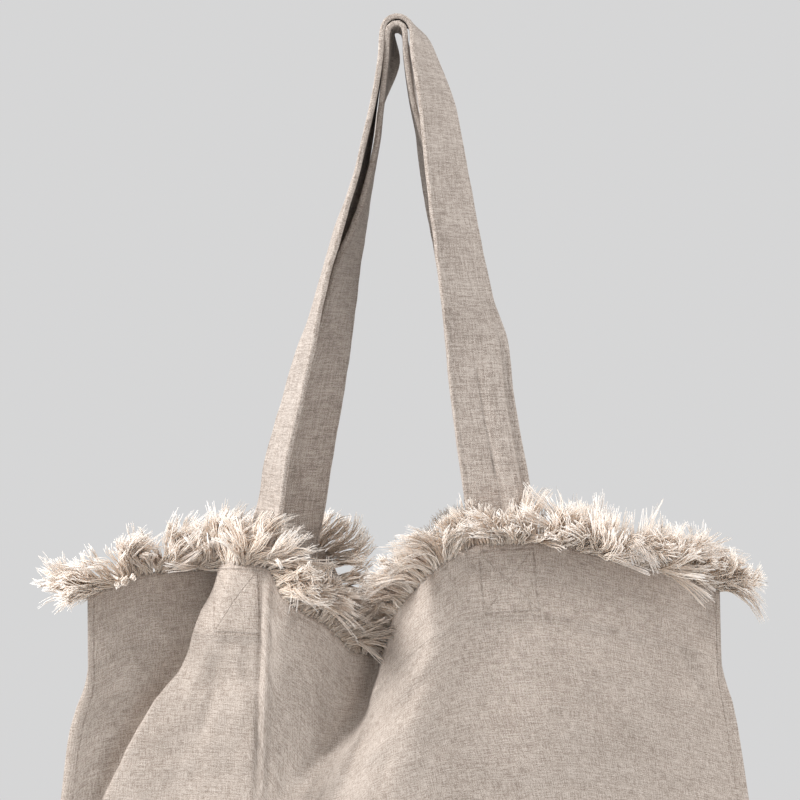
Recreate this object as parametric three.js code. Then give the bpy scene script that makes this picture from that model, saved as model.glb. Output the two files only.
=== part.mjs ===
// A linen tote bag with a frayed fringe along its mouth, hanging by two handles.
// Millimetres, +Z up, the front faces -Y. The origin is where a hook carries the inner handle.
import * as THREE from 'three';

// Driving dimensions.
const PANEL_WIDTH = 500;
const PANEL_DROP = 430;
const CLOTH = 1.2;
const HEM_CLOTH = 2;
const HEM_DROP = 44;
const SEAM_EDGE = 4;
const MOUTH_LEVEL = -316;
const FOOT_LEVEL = -742;
const STRAP_WIDTH = 40;
const STRAP_THICK = 3.4;
const STRAP_END = 41;
const CURL_START = 0.08;
const HOOK_RADIUS = 2.9;
const STRAP_NEST = 0.5;
const GAP = 0.3;
const FRINGE_SEAT = 0.7;

// How finely the cloth is divided.
const COLUMN_STEP = 14;
const ROW_DROPS = [0, 10.25, 20.5, 30.75, 41, 46, 58, 73, 91, 113, 140, 174, 216, 268, 330, 384, 415, 430];
const STRAP_PARTS = 4;
const STRAP_STEP = 14;

// The plain bag from the mouth down to the bottom seam, before any fold.
// drop: cloth below the mouth. left, right: X of the side seams. depth: bulge at the middle.
// swing, sway: Y of the left and the right seam.
const SECTIONS = [
  { name: 'mouth', drop: 0, left: -179, right: 187, depth: 28, swing: -22, sway: -20 },
  { name: 'hem', drop: 50, left: -178.5, right: 188.5, depth: 32, swing: -25, sway: -19 },
  { name: 'under the hem', drop: 85, left: -186, right: 194.5, depth: 35, swing: -26, sway: -18 },
  { name: 'shoulder', drop: 128, left: -191, right: 201, depth: 38, swing: -27, sway: -16 },
  { name: 'belly', drop: 280, left: -217, right: 223, depth: 42, swing: -14, sway: -8 },
  { name: 'low', drop: 390, left: -237, right: 239, depth: 20, swing: -3, sway: -2 },
  { name: 'foot', drop: 430, left: -245, right: 245, depth: 0, swing: 0, sway: 0 },
];

// Folds of each panel, a row for each line where the mouth edge turns, from the left seam to the right.
// x, y, z: where the line starts at the mouth. reach: the drop at which it has faded into the plain bag.
// lean: how far the line drifts across the cloth for each millimetre of drop. bend: how much further
// after 100 mm. stop: the drop at which the drift has come to rest.
const FRONT_FOLDS = [
  { name: 'left seam', x: -179, y: -22, z: -331, reach: 430, lean: 0, bend: 0, stop: 430 },
  { name: 'left wing', x: -145, y: -11, z: -319, reach: 190, lean: -0.2, bend: -8, stop: 170 },
  { name: 'pleat valley', x: -97, y: -1, z: -315, reach: 225, lean: -0.42, bend: -26, stop: 170 },
  { name: 'pleat edge', x: -101, y: -22.5, z: -313, reach: 300, lean: -0.45, bend: -30, stop: 170 },
  { name: 'patch', x: -92, y: -36, z: -312, reach: 150, lean: -0.4, bend: 0, stop: 140 },
  { name: 'left strap ridge', x: -77, y: -40.5, z: -313, reach: 165, lean: -0.05, bend: 0, stop: 430 },
  { name: 'dip shoulder', x: -63, y: -43.5, z: -333, reach: 115, lean: -0.22, bend: -12, stop: 125 },
  { name: 'dip slope', x: -42, y: -36, z: -347, reach: 108, lean: -0.25, bend: -42, stop: 125 },
  { name: 'dip low', x: -23, y: -24, z: -365, reach: 102, lean: -0.25, bend: -80, stop: 125 },
  { name: 'dip valley', x: -11, y: -9, z: -366, reach: 104, lean: -0.2, bend: -106, stop: 125 },
  { name: 'flank', x: -3, y: -26, z: -346, reach: 200, lean: -0.16, bend: -58, stop: 170 },
  { name: 'flank top', x: 18, y: -45, z: -319, reach: 290, lean: -0.13, bend: -38, stop: 240 },
  { name: 'flank crest', x: 27, y: -50, z: -311, reach: 330, lean: -0.1, bend: -28, stop: 300 },
  { name: 'right strap ridge', x: 43, y: -47, z: -302, reach: 300, lean: -0.08, bend: -15, stop: 300 },
  { name: 'right strap edge', x: 80, y: -46, z: -299, reach: 220, lean: -0.15, bend: 0, stop: 220 },
  { name: 'right wing', x: 117, y: -41.5, z: -307, reach: 200, lean: 0, bend: 0, stop: 430 },
  { name: 'right wing end', x: 155, y: -33, z: -317, reach: 220, lean: 0, bend: 0, stop: 430 },
  { name: 'right seam', x: 187, y: -20, z: -328, reach: 430, lean: 0, bend: 0, stop: 430 },
];
const BACK_FOLDS = [
  { name: 'left seam', x: -179, y: -22, z: -331, reach: 430, lean: 0, bend: 0, stop: 430 },
  { name: 'left wing', x: -140, y: 0, z: -321, reach: 280, lean: -0.22, bend: -4, stop: 170 },
  { name: 'pleat valley', x: -74, y: 12, z: -315, reach: 165, lean: -0.5, bend: 0, stop: 130 },
  { name: 'pleat edge', x: -81, y: 20, z: -312, reach: 190, lean: -0.48, bend: 0, stop: 130 },
  { name: 'left strap ridge', x: -47, y: 44, z: -308, reach: 260, lean: -0.1, bend: 0, stop: 400 },
  { name: 'dip shoulder', x: -31, y: 38, z: -334, reach: 150, lean: -0.2, bend: 0, stop: 200 },
  { name: 'dip slope', x: -12, y: 24, z: -356, reach: 120, lean: -0.3, bend: 0, stop: 160 },
  { name: 'dip low', x: 6, y: 12, z: -370, reach: 120, lean: -0.4, bend: 0, stop: 160 },
  { name: 'flank', x: 19, y: 24, z: -350, reach: 170, lean: -0.3, bend: 0, stop: 220 },
  { name: 'right strap ridge', x: 42, y: 44, z: -306, reach: 260, lean: -0.15, bend: 0, stop: 400 },
  { name: 'right strap edge', x: 81, y: 41, z: -303, reach: 220, lean: 0, bend: 0, stop: 430 },
  { name: 'right wing', x: 120, y: 24, z: -309, reach: 220, lean: 0, bend: 0, stop: 430 },
  { name: 'right wing end', x: 157, y: 3, z: -318, reach: 220, lean: 0, bend: 0, stop: 430 },
  { name: 'right seam', x: 187, y: -20, z: -328, reach: 430, lean: 0, bend: 0, stop: 430 },
];
// How much deeper than across the cloth the sag of the mouth lasts.
const SINK_REACH = 2.2;

// Free part of each handle from the left end over the hook to the right end.
// turn: degrees that the width is turned from the Y direction, its rear edge going to +X.
// curl: how far the rear edge bends towards +X from the flat strap.
const FRONT_STRAP = {
  left: [
    { name: 'above the mouth', x: -74.6, y: -24.5, z: -284, turn: -22.5, curl: 0 },
    { name: 'low', x: -69.4, y: -22.5, z: -253, turn: -20.5, curl: 0 },
    { name: 'middle', x: -60.7, y: -19.5, z: -218, turn: -17, curl: 0 },
    { name: 'above the middle', x: -53.7, y: -17, z: -190, turn: -13.5, curl: 0 },
    { name: 'high', x: -46.1, y: -14.5, z: -159, turn: -9.5, curl: 3 },
    { name: 'upper', x: -34.8, y: -10.5, z: -118, turn: -8, curl: 9.5 },
    { name: 'near the hook', x: -25.5, y: -8, z: -91, turn: -3, curl: 6 },
    { name: 'close to the hook', x: -19.3, y: -5.5, z: -68, turn: 0, curl: 3.4 },
    { name: 'under the hook', x: -13.4, y: -3, z: -42, turn: 0, curl: 0.5 },
    { name: 'beside the hook', x: -9.6, y: -1, z: -18, turn: 0, curl: 0 },
  ],
  hook: [
    { name: 'left', angle: 180, turn: 0, shift: 0 },
    { name: 'rising', angle: 135, turn: 0, shift: 0 },
    { name: 'top', angle: 90, turn: 0, shift: 0 },
    { name: 'falling', angle: 45, turn: 4.5, shift: 1.5 },
    { name: 'right', angle: 0, turn: 12, shift: 4.2 },
  ],
  right: [
    { name: 'beside the hook', x: 15.6, y: -1.5, z: -14, turn: 20, curl: 0 },
    { name: 'under the hook', x: 23, y: -5.5, z: -42, turn: 30.5, curl: 0 },
    { name: 'near the hook', x: 26.1, y: -8.5, z: -62, turn: 34, curl: 0 },
    { name: 'upper', x: 31.6, y: -14, z: -101, turn: 40, curl: 0 },
    { name: 'high', x: 41.2, y: -22.5, z: -159, turn: 50, curl: -1 },
    { name: 'under the high', x: 46, y: -26, z: -182, turn: 65, curl: -0.5 },
    { name: 'middle', x: 50, y: -31.5, z: -218, turn: 70, curl: -2 },
    { name: 'low', x: 58, y: -39.5, z: -271, turn: 80, curl: -1.5 },
  ],
};
const BACK_STRAP = {
  left: [
    { name: 'above the mouth', x: -59.6, y: 27, z: -280, turn: 56, curl: 0 },
    { name: 'low', x: -52.4, y: 23.3, z: -242, turn: 49, curl: 0 },
    { name: 'middle', x: -46.8, y: 21, z: -218, turn: 43, curl: 0 },
    { name: 'above the middle', x: -40.2, y: 18.4, z: -190, turn: 35, curl: 0 },
    { name: 'high', x: -33.5, y: 15.5, z: -159, turn: 24, curl: 0 },
    { name: 'under the upper', x: -28.2, y: 13, z: -134, turn: 17, curl: 0 },
    { name: 'upper', x: -22.2, y: 11, z: -114, turn: 8.5, curl: 0 },
    { name: 'near the hook', x: -16.4, y: 8.8, z: -90, turn: 3, curl: 0 },
    { name: 'close to the hook', x: -11.6, y: 6.5, z: -66, turn: 0, curl: 0 },
    { name: 'under the hook', x: -8.9, y: 4, z: -43, turn: 0, curl: 0 },
    { name: 'beside the hook', x: -5.8, y: 1.5, z: -18, turn: 0, curl: 0 },
  ],
  hook: [
    { name: 'left', angle: 180, turn: 0, shift: 0 },
    { name: 'rising', angle: 135, turn: 0, shift: 0 },
    { name: 'top', angle: 90, turn: 0, shift: 0 },
    { name: 'falling', angle: 45, turn: 0, shift: 0 },
    { name: 'right', angle: 0, turn: 0, shift: 0 },
  ],
  right: [
    { name: 'beside the hook', x: 5.3, y: 1.5, z: -16, turn: 0, curl: 2.5 },
    { name: 'under the hook', x: 8.9, y: 5, z: -42, turn: -1, curl: 2.5 },
    { name: 'close to the hook', x: 13.4, y: 7.5, z: -62, turn: -4, curl: 1 },
    { name: 'near the hook', x: 20.5, y: 11.5, z: -90, turn: -12, curl: 0 },
    { name: 'upper', x: 28.3, y: 15, z: -114, turn: -22, curl: 0 },
    { name: 'high', x: 39, y: 21, z: -159, turn: -32, curl: 0 },
    { name: 'middle', x: 50, y: 29, z: -218, turn: -48, curl: 0 },
    { name: 'low', x: 58.6, y: 36, z: -271, turn: -68, curl: 0 },
  ],
};

// Outer form of the fringe along the mouth, a row for each place along the flat width.
// rise: height over the edge. reach: how far it stands out. droop: how far it hangs below the edge.
// lean: how far its inner side tips outwards.
const FRONT_FRINGE = [
  { name: 'left seam', flat: 0, rise: 25, reach: 20, droop: 9, lean: 0 },
  { name: 'left wing', flat: 46, rise: 26, reach: 22, droop: 10, lean: 0 },
  { name: 'pleat', flat: 78, rise: 29, reach: 16, droop: 1, lean: 1 },
  { name: 'patch', flat: 118, rise: 31, reach: 14, droop: 0, lean: 3 },
  { name: 'left strap', flat: 145, rise: 33, reach: 14, droop: 1, lean: 5 },
  { name: 'dip shoulder', flat: 172, rise: 34, reach: 14, droop: 1, lean: 5 },
  { name: 'dip', flat: 228, rise: 36, reach: 11, droop: -2, lean: 1 },
  { name: 'dip valley', flat: 248, rise: 34, reach: 6, droop: -9, lean: 0 },
  { name: 'flank', flat: 280, rise: 30, reach: 6, droop: -10, lean: 0 },
  { name: 'flank top', flat: 308, rise: 30, reach: 9, droop: -5, lean: 1 },
  { name: 'right strap', flat: 335, rise: 30, reach: 15, droop: 1, lean: 3 },
  { name: 'right strap edge', flat: 375, rise: 29, reach: 16, droop: 2, lean: 2 },
  { name: 'right wing', flat: 430, rise: 29, reach: 21, droop: 9, lean: 1 },
  { name: 'right seam', flat: 500, rise: 27, reach: 20, droop: 9, lean: 0 },
];
const BACK_FRINGE = [
  { name: 'left seam', flat: 0, rise: 25, reach: 18, droop: 8, lean: 0 },
  { name: 'left wing', flat: 60, rise: 26, reach: 18, droop: 7, lean: 0 },
  { name: 'left strap', flat: 150, rise: 30, reach: 15, droop: 2, lean: 5 },
  { name: 'dip', flat: 240, rise: 32, reach: 14, droop: 1, lean: 2 },
  { name: 'right strap', flat: 350, rise: 29, reach: 15, droop: 2, lean: 4 },
  { name: 'right wing', flat: 430, rise: 27, reach: 18, droop: 7, lean: 0 },
  { name: 'right seam', flat: 500, rise: 26, reach: 18, droop: 8, lean: 0 },
];
// Fringe past a side seam: how far out it goes, how much of its size is left, how far it sinks.
const FRINGE_TIPS = [
  { name: 'start', out: 7, size: 0.95, sink: 0 },
  { name: 'middle', out: 14, size: 0.8, sink: 3 },
  { name: 'end', out: 20, size: 0.45, sink: 6 },
];
const FRONT_PLEAT = { from: 74, to: 112 };
const BACK_PLEAT = { from: 88, to: 119 };

const LINEN = new THREE.MeshStandardMaterial({ color: 0xb5a89b, roughness: 0.9, metalness: 0 });
const STRAP_LINEN = new THREE.MeshStandardMaterial({ color: 0xb0a295, roughness: 0.9, metalness: 0 });
const FRAYED = new THREE.MeshStandardMaterial({ color: 0xe0d2c4, roughness: 0.95, metalness: 0 });

function clamp(value, low, high) {
  return Math.min(Math.max(value, low), high);
}

// From 1 at the start to 0 at the end of a span, level at both.
function fading(part) {
  const t = clamp(part, 0, 1);
  return (1 - t) * (1 - t) * (1 + 2 * t);
}

// Smooth curve through points that never overshoots them.
function smoothCurve(at, values) {
  const last = at.length - 1;
  const rise = [];
  for (let i = 0; i < last; i += 1) {
    rise.push((values[i + 1] - values[i]) / (at[i + 1] - at[i]));
  }
  const slope = at.map((_, i) => {
    if (i === 0) {
      return rise[0];
    }
    if (i === last) {
      return rise[last - 1];
    }
    if (rise[i - 1] * rise[i] <= 0) {
      return 0;
    }
    return (2 * rise[i - 1] * rise[i]) / (rise[i - 1] + rise[i]);
  });
  return (where) => {
    const x = clamp(where, at[0], at[last]);
    let i = 0;
    while (i < last - 1 && x > at[i + 1]) {
      i += 1;
    }
    const span = at[i + 1] - at[i];
    const t = (x - at[i]) / span;
    const t2 = t * t;
    const t3 = t2 * t;
    const start = (2 * t3 - 3 * t2 + 1) * values[i] + (t3 - 2 * t2 + t) * span * slope[i];
    const end = (3 * t2 - 2 * t3) * values[i + 1] + (t3 - t2) * span * slope[i + 1];
    return start + end;
  };
}

function column(rows, along, name) {
  return smoothCurve(rows.map((row) => row[along]), rows.map((row) => row[name]));
}

const sectionLeft = column(SECTIONS, 'drop', 'left');
const sectionRight = column(SECTIONS, 'drop', 'right');
const sectionDepth = column(SECTIONS, 'drop', 'depth');
const sectionSwing = column(SECTIONS, 'drop', 'swing');
const sectionSway = column(SECTIONS, 'drop', 'sway');

// The plain bag: side is -1 for the front and +1 for the back.
function plainPoint(flat, drop, side) {
  const share = clamp(flat / PANEL_WIDTH, 0, 1);
  const past = flat - share * PANEL_WIDTH;
  const left = sectionLeft(drop);
  const bulge = Math.pow(Math.sin(Math.PI * share), 1.3);
  const seams = sectionSwing(drop) * Math.pow(1 - share, 3) + sectionSway(drop) * Math.pow(share, 3);
  return new THREE.Vector3(
    left + (sectionRight(drop) - left) * share + past,
    seams + side * sectionDepth(drop) * bulge,
    MOUTH_LEVEL + ((FOOT_LEVEL - MOUTH_LEVEL) * drop) / PANEL_DROP,
  );
}

function wallAt(drop) {
  const share = clamp((drop - HEM_DROP + 2) / 4, 0, 1);
  return HEM_CLOTH + (CLOTH - HEM_CLOTH) * share;
}

// A panel: its middle surface, outward direction and the flat places of its folds.
function makePanel(folds, side) {
  const mouth = folds.map((row) => new THREE.Vector3(row.x, row.y, row.z));
  const flats = [0];
  for (let i = 1; i < mouth.length; i += 1) {
    flats.push(flats[i - 1] + mouth[i].distanceTo(mouth[i - 1]));
  }
  const scale = PANEL_WIDTH / flats[flats.length - 1];
  flats.forEach((flat, i) => {
    flats[i] = flat * scale;
  });
  const shifts = mouth.map((point, i) => point.clone().sub(plainPoint(flats[i], 0, side)));

  function foldsAt(drop) {
    const at = [];
    const shift = { x: [], y: [], z: [] };
    folds.forEach((row, i) => {
      const left = fading(drop / row.reach);
      const stop = (row.stop * 2) / Math.PI;
      const fallen = stop * Math.sin(Math.min(drop / stop, Math.PI / 2));
      at.push(flats[i] + row.lean * fallen + row.bend * Math.pow(fallen / 100, 2));
      shift.x.push(shifts[i].x * left);
      shift.y.push(shifts[i].y * left);
      shift.z.push(shifts[i].z * fading(drop / Math.min(row.reach * SINK_REACH, PANEL_DROP)));
    });
    return {
      x: smoothCurve(at, shift.x),
      y: smoothCurve(at, shift.y),
      z: smoothCurve(at, shift.z),
    };
  }

  const kept = new Map();
  function point(flat, drop) {
    if (!kept.has(drop)) {
      kept.set(drop, foldsAt(drop));
    }
    const fold = kept.get(drop);
    const spot = plainPoint(flat, drop, side);
    spot.x += fold.x(flat);
    spot.y += fold.y(flat) + side * (wallAt(drop) + GAP) * 0.5;
    spot.z += fold.z(flat);
    return spot;
  }

  function outward(flat, drop) {
    const step = 1.5;
    const across = point(flat + step, drop).sub(point(flat - step, drop));
    const upper = Math.max(drop - step, 0);
    const lower = Math.min(drop + step, PANEL_DROP);
    const down = point(flat, lower).sub(point(flat, upper));
    return across.cross(down).normalize().multiplyScalar(side);
  }

  return { point, outward, flats, side, folds };
}

// A closed solid from rings of points. Every ring has the same count, and the ends are fans.
function ringSolid(rings) {
  const count = rings[0].length;
  const places = [];
  const faces = [];
  rings.forEach((ring) => ring.forEach((spot) => places.push(spot.x, spot.y, spot.z)));
  for (let i = 0; i + 1 < rings.length; i += 1) {
    for (let k = 0; k < count; k += 1) {
      const next = (k + 1) % count;
      const a = i * count + k;
      const b = i * count + next;
      faces.push(a, b, a + count, b, b + count, a + count);
    }
  }
  const top = (rings.length - 1) * count;
  for (let k = 1; k + 1 < count; k += 1) {
    faces.push(0, k + 1, k);
    faces.push(top, top + k, top + k + 1);
  }
  return closedGeometry(places, faces);
}

function closedGeometry(places, faces) {
  let volume = 0;
  const spot = (index) => new THREE.Vector3().fromArray(places, index * 3);
  for (let i = 0; i < faces.length; i += 3) {
    volume += spot(faces[i]).dot(spot(faces[i + 1]).cross(spot(faces[i + 2])));
  }
  if (volume < 0) {
    for (let i = 0; i < faces.length; i += 3) {
      const kept = faces[i];
      faces[i] = faces[i + 1];
      faces[i + 1] = kept;
    }
  }
  const geometry = new THREE.BufferGeometry();
  geometry.setAttribute('position', new THREE.Float32BufferAttribute(places, 3));
  geometry.setIndex(faces);
  geometry.computeVertexNormals();
  return geometry;
}

// Flat places of the panel's columns: the seam edges stand out past the two seams, and the handle
// ends have columns of their own.
function panelColumns(ends) {
  const keys = [0];
  [[ends.leftFront, ends.leftRear], [ends.rightFront, ends.rightRear]].forEach(([a, b]) => {
    for (let k = 0; k <= STRAP_PARTS; k += 1) {
      keys.push(Math.min(a, b) + (Math.abs(b - a) * k) / STRAP_PARTS);
    }
  });
  keys.push(PANEL_WIDTH);
  const flats = [-SEAM_EDGE, 0];
  for (let i = 1; i < keys.length; i += 1) {
    const parts = Math.ceil((keys[i] - keys[i - 1]) / COLUMN_STEP);
    for (let k = 1; k <= parts; k += 1) {
      flats.push(keys[i - 1] + ((keys[i] - keys[i - 1]) * k) / parts);
    }
  }
  flats.push(PANEL_WIDTH + SEAM_EDGE);
  return flats;
}

function panelSolid(panel, ends) {
  const flats = panelColumns(ends);
  const rows = ROW_DROPS.length;
  const rings = flats.map((flat) => {
    const outer = [];
    const inner = [];
    ROW_DROPS.forEach((drop) => {
      const middle = panel.point(flat, drop);
      const half = panel.outward(flat, drop).multiplyScalar(wallAt(drop) / 2);
      outer.push(middle.clone().add(half));
      inner.push(middle.clone().sub(half));
    });
    return outer.concat(inner.reverse());
  });
  const count = rows * 2;
  const places = [];
  const faces = [];
  rings.forEach((ring) => ring.forEach((spot) => places.push(spot.x, spot.y, spot.z)));
  for (let i = 0; i + 1 < rings.length; i += 1) {
    for (let k = 0; k < count; k += 1) {
      const next = (k + 1) % count;
      const a = i * count + k;
      const b = i * count + next;
      faces.push(a, b, a + count, b, b + count, a + count);
    }
  }
  [0, rings.length - 1].forEach((i) => {
    for (let k = 0; k + 1 < rows; k += 1) {
      const a = i * count + k;
      const b = a + 1;
      const c = i * count + count - 1 - k;
      const d = c - 1;
      if (i === 0) {
        faces.push(a, c, b, b, c, d);
      } else {
        faces.push(a, b, c, b, d, c);
      }
    }
  });
  return closedGeometry(places, faces);
}

// Cross-sections of a handle: points across the width from its front edge to its rear edge.
function freeSection(row) {
  const turn = THREE.MathUtils.degToRad(row.turn);
  const width = new THREE.Vector3(Math.sin(turn), Math.cos(turn), 0);
  const right = new THREE.Vector3(Math.cos(turn), -Math.sin(turn), 0);
  const middle = new THREE.Vector3(row.x, row.y, row.z);
  const spots = [];
  for (let k = 0; k <= STRAP_PARTS; k += 1) {
    const share = k / STRAP_PARTS - 0.5;
    const bent = row.curl * Math.pow(clamp((share - CURL_START) / (0.5 - CURL_START), 0, 1), 1.4);
    spots.push(middle.clone().addScaledVector(width, STRAP_WIDTH * share).addScaledVector(right, bent));
  }
  return spots;
}

function endSection(panel, frontFlat, rearFlat, drop) {
  const spots = [];
  for (let k = 0; k <= STRAP_PARTS; k += 1) {
    const flat = frontFlat + ((rearFlat - frontFlat) * k) / STRAP_PARTS;
    const inwards = wallAt(drop) / 2 + GAP + 0.4 + STRAP_THICK / 2;
    spots.push(panel.point(flat, drop).addScaledVector(panel.outward(flat, drop), -inwards));
  }
  return spots;
}

function strapSections(table, panel, ends, radius) {
  const drops = [STRAP_END, STRAP_END * 0.75, STRAP_END * 0.5, STRAP_END * 0.25, 0];
  const left = drops.map((drop) => endSection(panel, ends.leftFront, ends.leftRear, drop));
  const right = drops.map((drop) => endSection(panel, ends.rightFront, ends.rightRear, drop)).reverse();
  const over = table.hook.map((row) => {
    const angle = THREE.MathUtils.degToRad(row.angle);
    return freeSection({
      x: radius * Math.cos(angle) + row.shift,
      y: 0,
      z: radius * Math.sin(angle) - HOOK_RADIUS,
      turn: row.turn,
      curl: 0,
    });
  });
  return [...left, ...table.left.map(freeSection), ...over, ...table.right.map(freeSection), ...right];
}

// A handle: the sections joined by smooth curves, one for each place across the width.
function strapSolid(sections) {
  const middle = STRAP_PARTS / 2;
  const along = [0];
  for (let i = 1; i < sections.length; i += 1) {
    along.push(along[i - 1] + sections[i][middle].distanceTo(sections[i - 1][middle]));
  }
  const steps = [];
  for (let i = 0; i + 1 < sections.length; i += 1) {
    const parts = Math.max(1, Math.round((along[i + 1] - along[i]) / STRAP_STEP));
    for (let k = 0; k < parts; k += 1) {
      steps.push(along[i] + ((along[i + 1] - along[i]) * k) / parts);
    }
  }
  steps.push(along[along.length - 1]);
  const tracks = sections[0].map((_, k) => ({
    x: hermite(along, sections.map((section) => section[k].x)),
    y: hermite(along, sections.map((section) => section[k].y)),
    z: hermite(along, sections.map((section) => section[k].z)),
  }));
  const spot = (k, at) => new THREE.Vector3(tracks[k].x(at), tracks[k].y(at), tracks[k].z(at));
  const end = along[along.length - 1];
  const rings = steps.map((at) => {
    const outer = [];
    const inner = [];
    for (let k = 0; k <= STRAP_PARTS; k += 1) {
      const before = spot(k, Math.max(at - 0.5, 0));
      const ahead = spot(k, Math.min(at + 0.5, end));
      const across = spot(Math.min(k + 1, STRAP_PARTS), at).sub(spot(Math.max(k - 1, 0), at));
      const face = across.cross(ahead.sub(before)).normalize().multiplyScalar(STRAP_THICK / 2);
      outer.push(spot(k, at).add(face));
      inner.push(spot(k, at).sub(face));
    }
    return outer.concat(inner.reverse());
  });
  return ringSolid(rings);
}

// Smooth curve through points, with slopes taken from the neighbours.
function hermite(at, values) {
  const last = at.length - 1;
  const slope = at.map((_, i) => {
    const low = Math.max(i - 1, 0);
    const high = Math.min(i + 1, last);
    return (values[high] - values[low]) / (at[high] - at[low]);
  });
  return (x) => {
    let i = 0;
    while (i < last - 1 && x > at[i + 1]) {
      i += 1;
    }
    const span = at[i + 1] - at[i];
    const t = (x - at[i]) / span;
    const t2 = t * t;
    const t3 = t2 * t;
    const start = (2 * t3 - 3 * t2 + 1) * values[i] + (t3 - 2 * t2 + t) * span * slope[i];
    const stop = (3 * t2 - 2 * t3) * values[i + 1] + (t3 - t2) * span * slope[i + 1];
    return start + stop;
  };
}

// The fringe's outer form, one ring across the edge for each column of the panel.
function fringeSolid(panel, ends, table, pleat) {
  const rise = column(table, 'flat', 'rise');
  const reach = column(table, 'flat', 'reach');
  const droop = column(table, 'flat', 'droop');
  const lean = column(table, 'flat', 'lean');
  const side = panel.side;
  const ring = (flat) => {
    const edge = panel.point(flat, 0);
    const half = panel.outward(flat, 0).multiplyScalar(wallAt(0) / 2);
    const up = rise(flat);
    const out = reach(flat);
    const down = droop(flat);
    const tip = lean(flat);
    const spot = (outwards, height) => new THREE.Vector3(edge.x, edge.y + side * outwards, edge.z + height);
    const step = panel.point(flat + 2, 0).sub(panel.point(flat - 2, 0));
    const steep = Math.abs(step.z) / Math.hypot(step.x, step.y);
    const seat = new THREE.Vector3(0, 0, FRINGE_SEAT * (1 + 2.6 * steep));
    return [
      edge.clone().sub(half).add(seat),
      spot(tip * 0.6 - 0.5, up * 0.4),
      spot(tip, up * 0.85),
      spot(tip + out * 0.3, up),
      spot(tip * 0.5 + out * 0.75, up * 0.85),
      spot(out, up * 0.35),
      spot(out * 0.95, -down),
      spot(out * 0.6, -down),
      spot(out * 0.35, seat.z + 1 + 3 * steep),
      edge.clone().add(half).add(seat),
    ];
  };
  const flats = panelColumns(ends).filter((flat) => flat >= 0 && flat <= PANEL_WIDTH);
  const rings = flats.filter((flat) => flat <= pleat.from || flat >= pleat.to).map(ring);
  const tips = (base, sign) => {
    const centre = new THREE.Vector3();
    base.forEach((spot) => centre.addScaledVector(spot, 1 / base.length));
    return FRINGE_TIPS.map((row) => base.map((spot) => {
      const moved = centre.clone().lerp(spot, row.size);
      moved.x += sign * row.out;
      moved.z -= row.sink;
      return moved;
    }));
  };
  const leftTips = tips(rings[0], -1).reverse();
  const rightTips = tips(rings[rings.length - 1], 1);
  return ringSolid([...leftTips, ...rings, ...rightTips]);
}

const front = makePanel(FRONT_FOLDS, -1);
const back = makePanel(BACK_FOLDS, 1);

function flatOf(panel, name) {
  return panel.flats[panel.folds.findIndex((row) => row.name === name)];
}

const frontEnds = {
  leftFront: flatOf(front, 'left strap ridge') + 1,
  leftRear: flatOf(front, 'left strap ridge') + 1 - STRAP_WIDTH,
  rightFront: flatOf(front, 'right strap ridge'),
  rightRear: flatOf(front, 'right strap ridge') + STRAP_WIDTH,
};
const backEnds = {
  leftFront: flatOf(back, 'left strap ridge') - 2 - STRAP_WIDTH,
  leftRear: flatOf(back, 'left strap ridge') - 2,
  rightFront: flatOf(back, 'right strap ridge') + STRAP_WIDTH,
  rightRear: flatOf(back, 'right strap ridge'),
};
const innerRadius = HOOK_RADIUS + STRAP_THICK / 2;
const outerRadius = innerRadius + STRAP_THICK + STRAP_NEST;

const bag = new THREE.Group();
function addNode(name, geometry, material) {
  const mesh = new THREE.Mesh(geometry, material);
  mesh.name = name;
  bag.add(mesh);
}
addNode('front_panel', panelSolid(front, frontEnds), LINEN);
addNode('back_panel', panelSolid(back, backEnds), LINEN);
addNode('front_strap', strapSolid(strapSections(FRONT_STRAP, front, frontEnds, outerRadius)), STRAP_LINEN);
addNode('back_strap', strapSolid(strapSections(BACK_STRAP, back, backEnds, innerRadius)), STRAP_LINEN);
addNode('front_fringe', fringeSolid(front, frontEnds, FRONT_FRINGE, FRONT_PLEAT), FRAYED);
addNode('back_fringe', fringeSolid(back, backEnds, BACK_FRINGE, BACK_PLEAT), FRAYED);

export default bag;
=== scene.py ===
"""A linen tote bag with a frayed fringe along its mouth, hanging by its two handles.

Tables are in millimetres and meshes in metres, +Z up, and the front faces -Y. Cloth places are given as
flat (across the panel from its left seam) and drop (down the cloth from the mouth).
"""
import math

import bpy
import numpy as np
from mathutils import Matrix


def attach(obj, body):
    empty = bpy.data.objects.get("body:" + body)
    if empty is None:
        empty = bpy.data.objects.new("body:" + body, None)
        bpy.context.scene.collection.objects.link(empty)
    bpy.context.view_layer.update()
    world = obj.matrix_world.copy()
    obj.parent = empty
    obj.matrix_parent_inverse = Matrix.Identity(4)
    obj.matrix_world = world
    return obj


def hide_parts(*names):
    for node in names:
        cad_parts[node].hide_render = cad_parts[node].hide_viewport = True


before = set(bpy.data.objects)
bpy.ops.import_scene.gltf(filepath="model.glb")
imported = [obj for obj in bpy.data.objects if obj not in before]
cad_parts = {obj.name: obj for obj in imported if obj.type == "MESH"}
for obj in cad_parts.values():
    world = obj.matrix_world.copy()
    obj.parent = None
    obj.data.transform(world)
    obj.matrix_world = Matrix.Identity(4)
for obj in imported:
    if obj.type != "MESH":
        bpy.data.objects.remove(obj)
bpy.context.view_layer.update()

MM = 0.001

# Driving dimensions, the same as those of the solids.
PANEL_WIDTH = 500.0
PANEL_DROP = 430.0
HEM_DROP = 44.0
SEAM_EDGE = 4.0
MOUTH_LEVEL = -316.0
FOOT_LEVEL = -742.0
STRAP_WIDTH = 40.0
STRAP_THICK = 3.4
STRAP_END = 41.0
HOOK_RADIUS = 2.9
STRAP_NEST = 0.5
GAP = 0.3

# Thickness of the cloth, the drop over which it changes at the hem, and room behind it for a handle's end.
CLOTH = 0.8
HEM_CLOTH = 1.7
HEM_STEP = 3.0
END_GAP = 0.2

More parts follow.
